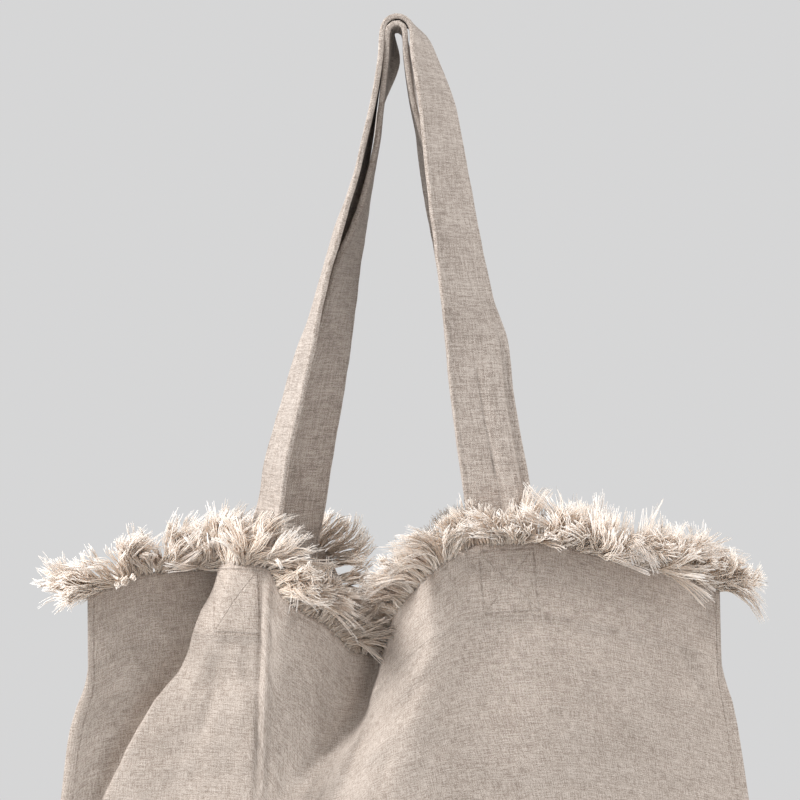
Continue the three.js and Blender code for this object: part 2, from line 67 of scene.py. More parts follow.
# Grids of the meshes. Places in a grid stop just inside its last cell.
GRID = 3.2
FINE_GRID = 1.6
FINE_FLATS = (96.0, 182.0)
LAST_CELL = 1.001

# Stitches and where their rows run.
STITCH_PITCH = 3.2
STITCH_LONG = 2.6
STITCH_THICK = 0.28
STITCH_SINK = 0.15
STITCH_STEP = 1.5
STITCH_INSET = 4.5
STITCH_LINE = 17.4
BOX_INSET = 4.0
HEM_ROW = 2
SEAM_ROW, SEAM_ROW_TOP, SEAM_ROW_FOOT = 0.5, 3, 4
SEAM_GROOVE = 3
PANEL_SINK = 0.02
STRAP_ROW_PAST = 6
STRAP_STITCH_LIFT = 1.1


def table(columns, *rows):
    """A dict of columns from rows that start with their name."""
    names = columns.split()
    return {name: np.array([row[i + 1] for row in rows], float) for i, name in enumerate(names)} | {
        "name": [row[0] for row in rows]}


# The plain bag: X of the seams, bulge at the middle and Y of the left and right seam.
SECTIONS = table(
    "drop left right depth swing sway",
    ("mouth", 0, -179, 187, 28, -22, -20),
    ("hem", 50, -178.5, 188.5, 32, -25, -19),
    ("under the hem", 85, -186, 194.5, 35, -26, -18),
    ("shoulder", 128, -191, 201, 38, -27, -16),
    ("belly", 280, -217, 223, 42, -14, -8),
    ("low", 390, -237, 239, 20, -3, -2),
    ("foot", 430, -245, 245, 0, 0, 0))
BULGE_POWER = 1.3

# How much of the seam's edge stands out: in the hem, how much more below it, and within which drop.
SEAM_TUCK, SEAM_GROWTH, SEAM_REACH = 0.15, 0.95, 22

# Folds: where each line starts at the mouth, the drop where it has faded, how far it drifts across the
# cloth for each millimetre of drop, how much further after 100 mm, and the drop where that drift stops.
FRONT_FOLDS = table(
    "x y z reach lean bend stop",
    ("left seam", -179, -22, -331, 430, 0, 0, 430),
    ("left wing", -145, -11, -319, 190, -0.2, -8, 170),
    ("pleat valley", -97, -1, -315, 225, -0.42, -26, 170),
    ("pleat edge", -101, -22.5, -313, 300, -0.45, -30, 170),
    ("patch", -92, -36, -312, 150, -0.4, 0, 140),
    ("left strap ridge", -77, -40.5, -313, 165, -0.05, 0, 430),
    ("dip shoulder", -63, -43.5, -333, 115, -0.22, -12, 125),
    ("dip slope", -42, -36, -347, 108, -0.25, -42, 125),
    ("dip low", -23, -24, -365, 102, -0.25, -80, 125),
    ("dip valley", -11, -9, -366, 104, -0.2, -106, 125),
    ("flank", -3, -26, -346, 200, -0.16, -58, 170),
    ("flank top", 18, -45, -319, 290, -0.13, -38, 240),
    ("flank crest", 27, -50, -311, 330, -0.1, -28, 300),
    ("right strap ridge", 43, -47, -302, 300, -0.08, -15, 300),
    ("right strap edge", 80, -46, -299, 220, -0.15, 0, 220),
    ("right wing", 117, -41.5, -307, 200, 0, 0, 430),
    ("right wing end", 155, -33, -317, 220, 0, 0, 430),
    ("right seam", 187, -20, -328, 430, 0, 0, 430))

BACK_FOLDS = table(
    "x y z reach lean bend stop",
    ("left seam", -179, -22, -331, 430, 0, 0, 430),
    ("left wing", -140, 0, -321, 280, -0.22, -4, 170),
    ("pleat valley", -74, 12, -315, 165, -0.5, 0, 130),
    ("pleat edge", -81, 20, -312, 190, -0.48, 0, 130),
    ("left strap ridge", -47, 44, -308, 260, -0.1, 0, 400),
    ("dip shoulder", -31, 38, -334, 150, -0.2, 0, 200),
    ("dip slope", -12, 24, -356, 120, -0.3, 0, 160),
    ("dip low", 6, 12, -370, 120, -0.4, 0, 160),
    ("flank", 19, 24, -350, 170, -0.3, 0, 220),
    ("right strap ridge", 42, 44, -306, 260, -0.15, 0, 400),
    ("right strap edge", 81, 41, -303, 220, 0, 0, 430),
    ("right wing", 120, 24, -309, 220, 0, 0, 430),
    ("right wing end", 157, 3, -318, 220, 0, 0, 430),
    ("right seam", 187, -20, -328, 430, 0, 0, 430))
SINK_REACH = 2.2

# Small creases, as lines seen from the front: x and z of both ends, half width and height.
FRONT_CREASES = table(
    "x z to_x to_z width height",
    ("groove beside the left strap", -77.5, -318, -81, -440, 2.0, -1.5),
    ("line beside the left strap", -74.0, -318, -77.5, -460, 2.0, 1.5),
    ("ridge beside the left strap", -68, -326, -72, -432, 7.0, 1.2),
    ("end of the left strap", -112, -357, -76, -360, 3.0, -0.8),
    ("patch ridge", -104, -335, -114, -430, 12.0, 1.0),
    ("patch pull", -96, -362, -86, -396, 3.0, 0.8),
    ("patch pull left", -104, -366, -116, -420, 4.0, -0.9),
    ("flank ridge", 27, -350, 2, -444, 8.0, 1.2),
    ("flank ridge below", 0, -440, -34, -520, 16.0, 2.5),
    ("scoop", -14, -392, -52, -430, 12.0, -1.5),
    ("scoop line", -50, -372, -22, -396, 5.0, 0.9),
    ("flank wrinkle", 25, -361, 2, -386, 2.6, 0.9),
    ("flank wrinkle below", 22, -372, -6, -402, 3.2, -0.8),
    ("flank wrinkle low", 10, -400, -22, -430, 3.5, 0.8),
    ("under the right box", 46, -340, 47, -410, 1.8, -0.5),
    ("under the right box edge", 76, -335, 78, -400, 2.0, -0.5),
    ("hollow under the right strap", 60, -335, 46, -520, 20.0, -3.6),
    ("swell of the right side", 112, -350, 124, -480, 28.0, 2.2),
    ("right wing groove", 163, -362, 181, -400, 3.2, -1.3),
    ("right wing ridge", 170, -356, 190, -398, 4.0, 1.0),
    ("left wing crease", -168, -352, -140, -384, 5.0, 0.8),
    ("left seam pull", -186, -372, -160, -410, 5.0, 0.8),
    ("hollow beside the pleat", -100, -366, -130, -460, 24.0, -4.5),
    ("belly line", -90, -470, -120, -580, 12.0, 1.4),
    ("belly line right", 70, -480, 100, -600, 13.0, 1.4))
BACK_CREASES = table(
    "x z to_x to_z width height",
    ("under the left strap", -50, -320, -54, -410, 3.0, -1.2),
    ("beside the left strap", -42, -330, -50, -430, 8.0, 2.4),
    ("pleat foot", -110, -380, -150, -440, 7.0, 1.3),
    ("flank ridge", 40, -360, 24, -450, 13.0, 3.0),
    ("flank wrinkle", 38, -366, 10, -394, 3.0, 0.9),
    ("right strap pull", 84, -350, 100, -450, 7.0, 1.0),
    ("wing crease", 150, -360, 178, -410, 4.0, 0.9),
    ("belly line", -60, -470, -100, -590, 13.0, 1.4))

# Free part of each handle, as in the solids. curl: how far its rear edge bends towards +X.
FRONT_STRAP = {
    "left": table(
        "x y z turn curl",
        ("above the mouth", -74.6, -24.5, -284, -22.5, 0),
        ("low", -69.4, -22.5, -253, -20.5, 0),
        ("middle", -60.7, -19.5, -218, -17, 0),
        ("above the middle", -53.7, -17, -190, -13.5, 0),
        ("high", -46.1, -14.5, -159, -9.5, 3),
        ("upper", -34.8, -10.5, -118, -8, 9.5),
        ("near the hook", -25.5, -8, -91, -3, 6),
        ("close to the hook", -19.3, -5.5, -68, 0, 3.4),
        ("under the hook", -13.4, -3, -42, 0, 0.5),
        ("beside the hook", -9.6, -1, -18, 0, 0)),
    "hook": table(
        "angle turn shift",
        ("left", 180, 0, 0),
        ("rising", 135, 0, 0),
        ("top", 90, 0, 0),
        ("falling", 45, 4.5, 1.5),
        ("right", 0, 12, 4.2)),
    "right": table(
        "x y z turn curl",
        ("beside the hook", 15.6, -1.5, -14, 20, 0),
        ("under the hook", 23, -5.5, -42, 30.5, 0),
        ("near the hook", 26.1, -8.5, -62, 34, 0),
        ("upper", 31.6, -14, -101, 40, 0),
        ("high", 41.2, -22.5, -159, 50, -1),
        ("under the high", 46, -26, -182, 65, -0.5),
        ("middle", 50, -31.5, -218, 70, -2),
        ("low", 58, -39.5, -271, 80, -1.5)),
}
BACK_STRAP = {
    "left": table(
        "x y z turn curl",
        ("above the mouth", -59.6, 27, -280, 56, 0),
        ("low", -52.4, 23.3, -242, 49, 0),
        ("middle", -46.8, 21, -218, 43, 0),
        ("above the middle", -40.2, 18.4, -190, 35, 0),
        ("high", -33.5, 15.5, -159, 24, 0),
        ("under the upper", -28.2, 13, -134, 17, 0),
        ("upper", -22.2, 11, -114, 8.5, 0),
        ("near the hook", -16.4, 8.8, -90, 3, -0.6),
        ("close to the hook", -11.6, 6.5, -66, 0, -1.0),
        ("under the hook", -8.9, 4, -43, 0, -0.6),
        ("beside the hook", -5.4, 1.5, -18, 3, 5)),
    "hook": table(
        "angle turn shift",
        ("left", 180, 5, 0.6),
        ("rising", 135, 1, 0),
        ("top", 90, 0, 0),
        ("falling", 45, 0, 0),
        ("right", 0, 0, 0)),
    "right": table(
        "x y z turn curl",
        ("beside the hook", 5.3, 1.5, -16, 0, 2.5),
        ("under the hook", 8.9, 5, -42, -1, 2.5),
        ("close to the hook", 13.4, 7.5, -62, -4, 1),
        ("near the hook", 20.5, 11.5, -90, -12, 0),
        ("upper", 28.3, 15, -114, -22, 0),
        ("high", 39, 21, -159, -32, 0),
        ("middle", 50, 29, -218, -48, 0),
        ("low", 58.6, 36, -271, -68, 0)),
}
CURL_START = 0.08
CURL_POWER = 1.4

# Creases along the right leg of the front handle: place across it and z of both ends, half width, height.
STRAP_CREASES = table(
    "place z to_place to_z width height",
    ("fold", 9.5, -158, 11.5, -305, 1.7, 1.3),
    ("swell before the fold", 5.5, -165, 7.0, -305, 4.0, 1.2),
    ("behind the fold", 14, -162, 15.5, -305, 2.6, -1.0),
    ("valley", -3, -190, 0.0, -268, 1.6, -1.1),
    ("valley below", 0, -245, 2.5, -300, 1.8, -0.9))


# How the fringe stands along the mouth: degrees outwards and sideways, their spreads and its length.
FRONT_FRINGE = table(
    "flat out side spread sway long",
    ("left seam", 0, 36, -38, 30, 14, 33),
    ("left wing end", 20, 46, -20, 50, 16, 38),
    ("left wing", 55, 40, 4, 42, 14, 38),
    ("pleat valley", 86, 14, 2, 16, 14, 36),
    ("pleat side", 102, 10, 0, 16, 10, 34),
    ("left strap", 124, 24, 2, 32, 14, 36),
    ("strap ridge", 146, 16, 16, 30, 12, 39),
    ("dip slope", 185, 16, 20, 26, 10, 36),
    ("dip low", 225, -6, 8, 12, 8, 32),
    ("dip valley", 250, -8, -6, 10, 8, 26),
    ("flank", 278, 2, -6, 16, 10, 30),
    ("flank crest", 322, 18, 0, 34, 14, 31),
    ("right strap", 345, 20, 4, 38, 16, 30),
    ("strap edge", 379, 30, 2, 44, 16, 34),
    ("right wing", 419, 48, 0, 44, 16, 37),
    ("right wing droop", 436, 54, 2, 40, 16, 37),
    ("right wing end", 466, 34, 6, 30, 14, 36),
    ("right seam", 500, 36, 20, 34, 16, 33))
BACK_FRINGE = table(
    "flat out side spread sway long",
    ("left seam", 0, 38, -40, 40, 22, 33),
    ("left wing", 60, 36, -4, 42, 20, 34),
    ("left strap", 140, 20, 4, 34, 14, 34),
    ("dip slope", 196, 20, 20, 28, 12, 34),
    ("dip", 240, 16, 0, 26, 14, 32),
    ("flank", 290, 14, -8, 26, 12, 31),
    ("right strap", 350, 20, 0, 34, 16, 31),
    ("right wing", 430, 40, 2, 44, 20, 34),
    ("right seam", 500, 34, 40, 36, 18, 34))
FRONT_LOCKS = 270
BACK_LOCKS = 141
PLIES = 5
FIBRES = 6
TUFT = 3
STRAND_PARTS = 9
STRAND_STEPS = np.linspace(0, 1, STRAND_PARTS + 1)
FIBRE_THICK = (0.25, 0.36)
TIP_START, TIP_SHARE = 0.8, 0.7

# Limits of the strands: Y in front and behind, the length over which they ease towards it, the lean from
# which they curl up and how much of their curl is kept there, and the most that they lean.
FRINGE_ROOM = (-76.5, 72.0)
FRINGE_EASE = 14.0
LIFT_LEAN = 48.0
LIFT_SHARE = 0.7
MOST_LEAN = 80.0

# How unlike each other the strands are: degrees, shares of their length, bend, curl and tone.
LOCK_LEAN, PLY_LEAN = 12, 6
LOCK_TURN, PLY_TURN = 9, 7
TUFT_LONG, LOCK_LONG = (0.86, 1.04), (0.86, 1.02)
PLY_LONG, FIBRE_LONG = (0.93, 1.03), (0.88, 1.0)
TUFT_BEND, LOCK_BEND, PLY_BEND = 0.2, 0.08, 0.05
TUFT_CURL, LOCK_CURL, PLY_CURL = 0.26, 0.1, 0.08
LOCK_TONE, PLY_TONE, FIBRE_TONE = 0.1, 0.08, 0.08

# Roots of the plies: how far they run past the seams, scatter along the edge, lie under it and stand out,
# and the room at the seams where the cloth beside gives their direction.
FRINGE_PAST = 1.5
ROOT_SCATTER = 1.4
ROOT_DEPTH = (0.2, 1.6)
ROOT_OUT = (-0.8, 0.6)
ROOT_ROOM = 8
ROOT_SPAN = 3
UPRIGHT = 0.15

# Shape of the plies and fibres: sag of an upright and of a level ply, half thickness of a ply at its root,
# how much wider it gets and how far its tip frays, and the waves along plies and fibres.
SAG, LEVEL_SAG, SAG_SPREAD = 0.03, 0.16, (0.5, 1.5)
PLY_ROOT, PLY_WIDER, PLY_FRAY = 0.5, 1.0, 1.6
WAVE_HEIGHT, WAVE_RATE, WAVE_RISE = (0.4, 1.8), (4, 9), 0.7
KINK_HEIGHT, KINK_RATE = (0.3, 1.3), (9, 18)
ANY_PHASE = (0, 6.3)

# Cross shape of a handle: distance from its middle line and half thickness there, even on its face.
FACE_PLACES, FACE_HALF = (15.2, 14.0, 12.8, 11.5, 10.2, 9.0, 7.8, 6.5, 4.5, 3.0, 1.5, 0.0), 1.65
STRAP_SHAPE = table(
    "place half",
    ("edge", 20.0, 0.7),
    ("round", 19.8, 1.2),
    ("fold", 19.3, 1.55),
    ("before the stitches", 18.3, 1.6),
    ("stitches", STITCH_LINE, 1.25),
    ("after the stitches", 16.5, 1.6),
    *(("face", place, FACE_HALF) for place in FACE_PLACES))

# Unevenness of the panels: height and size of swells, crumples and dimples, the drop where swells begin, how
# far in from the seams and the foot the cloth is calm, the hem's puckers, and the bumps over the handle ends.
SWELL_HEIGHT, SWELL_SIZE = 0.8, 95
CRUMPLE_HEIGHT, CRUMPLE_SIZE = 0.44, 40
DIMPLE_HEIGHT, DIMPLE_SIZE = 0.24, 20
SWELL_DROP, SWELL_FADE = 50, 60
SEAM_CALM, FOOT_CALM = 25, 60
PUCKER_HEIGHT, PUCKER_PITCH, PUCKER_DRIFT, PUCKER_REACH = 0.2, 12.0, 37, 7
END_HEIGHT, END_EASE, END_PAST = 0.6, 3, 2

# Creases waver by a share of their width, and fade at both ends by shares of their length.
CREASE_WAVER, CREASE_TURNS = 0.25, 4
CREASE_IN, CREASE_STOP, CREASE_OUT = 0.3, 1.2, 0.45
STRAP_CREASE_FADE = 5

# Unevenness of a handle's free part, and how it fades towards the sewn ends and the hook.
STRAP_UNEVEN, STRAP_MIDDLE, STRAP_FINE = 0.4, 0.2, 0.4
STRAP_SIZE, STRAP_FINE_SIZE, STRAP_FINE_PACE = 60, 24, 1.6
STRAP_CALM, STRAP_FADE = 10, 40
HOOK_CALM, HOOK_FADE = -40, 60


def smooth(at, values, where):
    """Smooth curve through points that never overshoots them."""
    at, values = np.asarray(at, float), np.asarray(values, float)
    rise = np.diff(values) / np.diff(at)
    slope = np.concatenate([rise[:1], np.zeros(len(at) - 2), rise[-1:]])
    same = rise[:-1] * rise[1:] > 0
    both = np.where(same, rise[:-1] + rise[1:], 1.0)
    slope[1:-1] = np.where(same, 2 * rise[:-1] * rise[1:] / both, 0.0)
    return cubic(at, values, slope, np.clip(where, at[0], at[-1]))


def through(at, values, where):
    """Smooth curve through points, with slopes taken from the neighbours."""
    at, values = np.asarray(at, float), np.asarray(values, float)
    low = np.maximum(np.arange(len(at)) - 1, 0)
    high = np.minimum(np.arange(len(at)) + 1, len(at) - 1)
    slope = (values[high] - values[low]) / (at[high] - at[low])
    return cubic(at, values, slope, where)


def cubic(at, values, slope, where):
    i = np.clip(np.searchsorted(at, where, side="right") - 1, 0, len(at) - 2)
    span = at[i + 1] - at[i]
    t = (where - at[i]) / span
    start = (2 * t**3 - 3 * t**2 + 1) * values[i] + (t**3 - 2 * t**2 + t) * span * slope[i]
    return start + (3 * t**2 - 2 * t**3) * values[i + 1] + (t**3 - t**2) * span * slope[i + 1]


def unit(vectors):
    return vectors / np.maximum(np.linalg.norm(vectors, axis=-1, keepdims=True), 1e-9)


def travelled(points):
    """Length along a line of points, from its start to each of them."""
    return np.concatenate([[0.0], np.cumsum(np.linalg.norm(np.diff(points, axis=0), axis=1))])


def between(grid, i, k):
    """Values of a grid of vectors at rows i and columns k, which need not be whole numbers."""
    i = np.clip(i, 0, grid.shape[0] - LAST_CELL)
    k = np.clip(k, 0, grid.shape[1] - LAST_CELL)
    i, k = np.broadcast_arrays(i, k)
    i0, k0 = i.astype(int), k.astype(int)
    ti, tk = (i - i0)[..., None], (k - k0)[..., None]
    top = grid[i0, k0] * (1 - tk) + grid[i0, k0 + 1] * tk
    foot = grid[i0 + 1, k0] * (1 - tk) + grid[i0 + 1, k0 + 1] * tk
    return top * (1 - ti) + foot * ti


def wall(drop):
    """Thickness of a panel: doubled cloth in the hem, one layer below it."""
    return HEM_CLOTH + (CLOTH - HEM_CLOTH) * np.clip((drop - HEM_DROP + HEM_STEP / 2) / HEM_STEP, 0, 1)


def ripple(flat, drop, seed, scale, count=14):
    """Soft unevenness of the cloth, between about -1 and 1."""
    rng = np.random.default_rng(seed)
    total = np.zeros_like(flat)
    for _ in range(count):
        angle, phase = rng.uniform(0, 2 * math.pi, 2)
        wave = 2 * math.pi / (scale * rng.uniform(0.6, 1.7))
        total += np.sin(wave * (flat * math.cos(angle) + drop * math.sin(angle)) + phase)
    return total / math.sqrt(count)


class Panel:
    """One panel: a grid of points and outward directions over flat and drop, in millimetres."""

    def __init__(self, folds, side, creases, seed):
        self.folds, self.side = folds, side
        mouth = np.stack([folds["x"], folds["y"], folds["z"]], axis=1)
        lengths = travelled(mouth)
        self.fold_flats = lengths * PANEL_WIDTH / lengths[-1]
        self.shifts = mouth - self.plain(self.fold_flats, np.zeros(len(mouth)))
        ends = [-SEAM_EDGE, FINE_FLATS[0], FINE_FLATS[1], PANEL_WIDTH + SEAM_EDGE]
        spans = [np.linspace(a, b, math.ceil((b - a) / step) + 1)[:-1]
                 for a, b, step in zip(ends, ends[1:], (GRID, FINE_GRID, GRID))]
        self.flats = np.concatenate([*spans, ends[-1:]])
        self.drops = np.linspace(0, PANEL_DROP, int(PANEL_DROP / GRID) + 1)
        self.points = np.stack([self.row(drop) for drop in self.drops])
        self.ends = self.strap_ends()
        self.faces = self.directions()
        out = self.relief(*np.meshgrid(self.flats, self.drops), seed) + self.creased(creases)
        self.points = self.points + self.faces * out[..., None]
        self.faces = self.directions()

    def plain(self, flat, drop):
        """Points of the bag without its folds."""
        share = np.clip(flat / PANEL_WIDTH, 0, 1)
        left, right, depth, swing, sway = (
            smooth(SECTIONS["drop"], SECTIONS[key], drop)
            for key in ("left", "right", "depth", "swing", "sway"))
        bulge = np.sin(np.pi * share).clip(0) ** BULGE_POWER
        seam = SEAM_TUCK + SEAM_GROWTH * np.clip((drop - HEM_DROP) / SEAM_REACH, 0, 1)
        x = left + (right - left) * share + seam * (flat - share * PANEL_WIDTH)
        y = swing * (1 - share) ** 3 + sway * share**3 + self.side * depth * bulge
        z = MOUTH_LEVEL + (FOOT_LEVEL - MOUTH_LEVEL) * drop / PANEL_DROP
        return np.stack([x, y, z], axis=-1)

    def row(self, drop):
        """The points of one row of the grid."""
        reach = self.folds["reach"]
        down = np.clip(drop / reach, 0, 1)
        sink = np.clip(drop / np.minimum(reach * SINK_REACH, PANEL_DROP), 0, 1)
        left = (1 - down) ** 2 * (1 + 2 * down)
        left_z = (1 - sink) ** 2 * (1 + 2 * sink)
        stop = self.folds["stop"] * 2 / math.pi
        fallen = stop * np.sin(np.minimum(drop / stop, math.pi / 2))
        at = self.fold_flats + self.folds["lean"] * fallen + self.folds["bend"] * (fallen / 100) ** 2
        assert np.all(np.diff(at) > 0.5), "folds cross"
        spots = self.plain(self.flats, np.full_like(self.flats, drop))
        for axis, share in enumerate((left, left, left_z)):
            spots[:, axis] += smooth(at, self.shifts[:, axis] * share, self.flats)
        spots[:, 1] += self.side * (wall(drop) + GAP) / 2
        return spots

    def directions(self):
        down, across = np.gradient(self.points, self.drops, self.flats, axis=(0, 1))
        return unit(np.cross(across, down)) * self.side

    def fold_flat(self, name):
        return self.fold_flats[self.folds["name"].index(name)]

    def strap_ends(self):
        """The flat places of each handle end's front and rear edge."""
        left, right = self.fold_flat("left strap ridge"), self.fold_flat("right strap ridge")
        if self.side < 0:
            return (left + 1, left + 1 - STRAP_WIDTH), (right, right + STRAP_WIDTH)
        return (left - 2 - STRAP_WIDTH, left - 2), (right + STRAP_WIDTH, right)

    def relief(self, flat, drop, seed):
        """How far the cloth stands out over its main form: unevenness, the hem and the handle ends."""
        inner = np.clip(np.minimum(flat, PANEL_WIDTH - flat) / SEAM_CALM, 0, 1)
        fade = np.clip((PANEL_DROP - drop) / FOOT_CALM, 0, 1) * inner
        below = np.clip((drop - SWELL_DROP) / SWELL_FADE, 0, 1)
        swell = SWELL_HEIGHT * below * ripple(flat, drop, seed, SWELL_SIZE)
        crumple = CRUMPLE_HEIGHT * (0.5 - np.abs(ripple(flat, drop, seed + 1, CRUMPLE_SIZE)))
        dimple = DIMPLE_HEIGHT * ripple(flat, drop, seed + 2, DIMPLE_SIZE)
        hem = np.exp(-(((drop - HEM_DROP) / PUCKER_REACH) ** 2))
        pucker = np.sin(flat / PUCKER_PITCH * 2 * math.pi + 2 * np.sin(flat / PUCKER_DRIFT))
        out = fade * (swell + crumple + dimple) + PUCKER_HEIGHT * fade * hem * pucker
        above = np.clip((STRAP_END + END_PAST - drop) / END_EASE, 0, 1)
        for edges in self.ends:
            low, high = min(edges), max(edges)
            inside = np.clip((flat - low) / END_EASE, 0, 1) * np.clip((high - flat) / END_EASE, 0, 1)
            out += END_HEIGHT * inside * above
        return out

    def creased(self, rows):
        """How far the small creases stand out."""
        x, z = self.points[..., 0], self.points[..., 2]
        out = np.zeros_like(x)
        for i, width in enumerate(rows["width"]):
            start = np.array([rows["x"][i], rows["z"][i]])
            way = np.array([rows["to_x"][i], rows["to_z"][i]]) - start
            length = np.linalg.norm(way)
            way = way / length
            along = ((x - start[0]) * way[0] + (z - start[1]) * way[1]) / length
            off = (x - start[0]) * way[1] - (z - start[1]) * way[0]
            off = off + CREASE_WAVER * width * np.sin(along * CREASE_TURNS + i)
            ends = np.clip(along / CREASE_IN + 0.5, 0, 1) * np.clip((CREASE_STOP - along) / CREASE_OUT, 0, 1)
            out += rows["height"][i] * np.exp(-((off / width) ** 2)) * ends * ends * (3 - 2 * ends)
        return out

    def at(self, flat, drop):
        """Points and outward directions at any places on the cloth."""
        i = np.asarray(drop, float) / self.drops[1]
        k = np.interp(flat, self.flats, np.arange(len(self.flats)))
        return between(self.points, i, k), unit(between(self.faces, i, k))


class Strap:
    """A handle: tracks across its width, from its front edge to its rear edge, along its length."""

    PARTS = 40

    def __init__(self, rows, panel, radius, seed, creases=None):
        self.share = np.linspace(-0.5, 0.5, self.PARTS + 1)
        sections = self.sections(rows, panel, radius)
        along = travelled(sections[:, self.PARTS // 2])
        self.length = along[-1]
        self.steps = np.linspace(0, self.length, int(self.length / GRID) + 1)
        self.rows = np.empty((len(self.steps), self.PARTS + 1, 3))
        for k in range(self.PARTS + 1):
            for axis in range(3):
                self.rows[:, k, axis] = through(along, sections[:, k, axis], self.steps)
        self.faces = self.directions()
        out = self.relief(seed)
        if creases:
            out = out + self.creased(creases)
        self.rows += self.faces * out[..., None]
        self.faces = self.directions()

    def sections(self, rows, panel, radius):
        """Lines across the handle, from its left end over the hook to its right end."""
        curl_at = np.clip((self.share - CURL_START) / (0.5 - CURL_START), 0, 1) ** CURL_POWER
        left_end, right_end = panel.ends
        drops = STRAP_END * np.linspace(1, 0, 5)
        lines = [self.end(panel, left_end, drop) for drop in drops]
        for part in ("left", "hook", "right"):
            columns = rows[part]
            for i, degrees in enumerate(columns["turn"]):
                turn = math.radians(degrees)
                across = np.array([math.sin(turn), math.cos(turn), 0.0])
                right = np.array([math.cos(turn), -math.sin(turn), 0.0])
                if part == "hook":
                    angle = math.radians(columns["angle"][i])
                    x = radius * math.cos(angle) + columns["shift"][i]
                    spot = np.array([x, 0, radius * math.sin(angle) - HOOK_RADIUS])
                    curl = 0.0
                else:
                    spot = np.array([columns["x"][i], columns["y"][i], columns["z"][i]])
                    curl = columns["curl"][i]
                straight = spot + STRAP_WIDTH * self.share[:, None] * across
                lines.append(straight + curl * curl_at[:, None] * right)
        lines += [self.end(panel, right_end, drop) for drop in drops[::-1]]
        return np.array(lines)

    def end(self, panel, edges, drop):
        """A line across a sewn end, which lies flat on the inner side of the panel."""
        flats = np.linspace(edges[0], edges[1], self.PARTS + 1)
        spots, faces = panel.at(flats, np.full(self.PARTS + 1, drop))
        return spots - faces * (wall(drop) / 2 + GAP + END_GAP + STRAP_THICK / 2)

    def directions(self):
        along, across = np.gradient(self.rows, axis=(0, 1))
        return unit(np.cross(across, along))

    def relief(self, seed):
        """Unevenness of the free part."""
        place, way = np.meshgrid(self.share * STRAP_WIDTH, self.steps)
        past_end = np.minimum(self.steps, self.length - self.steps) - STRAP_END
        level = self.rows[:, self.PARTS // 2, 2]
        free = np.clip((past_end - STRAP_CALM) / STRAP_FADE, 0, 1)
        free = free * np.clip((HOOK_CALM - level) / HOOK_FADE, 0, 1)
        uneven = ripple(way, place * 2, seed, STRAP_SIZE) * (STRAP_MIDDLE + np.abs(self.share))
        uneven += STRAP_FINE * ripple(way * STRAP_FINE_PACE, place, seed + 1, STRAP_FINE_SIZE)
        return STRAP_UNEVEN * uneven * free[:, None]

    def creased(self, rows):
        """How far the creases of the right leg stand out, towards the front."""
        x, z = self.rows[..., 0], self.rows[..., 2]
        place = self.share * STRAP_WIDTH
        out = np.zeros_like(z)
        for i, width in enumerate(rows["width"]):
            along = (z - rows["z"][i]) / (rows["to_z"][i] - rows["z"][i])
            off = place - rows["place"][i] - (rows["to_place"][i] - rows["place"][i]) * along
            ends = np.clip(along * STRAP_CREASE_FADE, 0, 1) * np.clip((1 - along) * STRAP_CREASE_FADE, 0, 1)
            out += rows["height"][i] * np.exp(-((off / width) ** 2)) * ends * (x > 0)
        return -np.sign(self.faces[..., 1]) * out

    def at(self, place, step):
        """Points and outer directions: place is millimetres from the middle line, step along the handle."""
        i = np.asarray(step, float) / self.steps[1]
        k = (np.asarray(place, float) / STRAP_WIDTH + 0.5) * self.PARTS
        return between(self.rows, i, k), unit(between(self.faces, i, k))


def add_object(name, data):
    thing = bpy.data.objects.new(name, data)
    bpy.context.scene.collection.objects.link(thing)
    return thing


def make_mesh(name, points, faces, **marks):
    """A smooth object from millimetre points. marks: three numbers for each point, by the mark's name."""
    mesh = bpy.data.meshes.new(name)
    mesh.from_pydata((points.reshape(-1, 3) * MM).tolist(), [], faces)
    for mark, values in marks.items():
        data = mesh.attributes.new(mark, "FLOAT_VECTOR", "POINT").data
        data.foreach_set("vector", values.astype(np.float32).ravel())
    mesh.polygons.foreach_set("use_smooth", np.ones(len(mesh.polygons), bool))
    mesh.validate()
    mesh.update()
    return add_object(name, mesh)


def grid_faces(rows, columns, start, turned):
    i, k = np.meshgrid(np.arange(rows - 1), np.arange(columns - 1), indexing="ij")
    a = start + i * columns + k
    order = [a, a + 1, a + columns + 1, a + columns]
    return np.stack(order[::-1] if turned else order, axis=-1).reshape(-1, 4)


def panel_piece(name, panel):
    """A panel as a closed wall: outer and inner side and the rim between them."""
    rows, columns = len(panel.drops), len(panel.flats)
    half = panel.faces * wall(panel.drops)[:, None, None] / 2
    flat, drop = np.meshgrid(panel.flats, panel.drops)
    place = np.stack([flat, drop, np.zeros_like(flat)], axis=-1)
    count = rows * columns
    front = panel.side < 0
    rim = np.concatenate([
        np.arange(columns),
        np.arange(1, rows) * columns + columns - 1,
        (rows - 1) * columns + np.arange(columns - 2, -1, -1),
        np.arange(rows - 2, 0, -1) * columns])
    nxt = np.roll(rim, -1)
    edge = np.stack([rim, nxt, nxt + count, rim + count], axis=1)
    faces = np.concatenate([
        grid_faces(rows, columns, 0, turned=front),
        grid_faces(rows, columns, count, turned=not front),
        edge if front else edge[:, ::-1]])
    points = np.stack([panel.points + half, panel.points - half])
    return make_mesh(name, points, faces.tolist(), cloth=np.stack([place, place]) * MM)


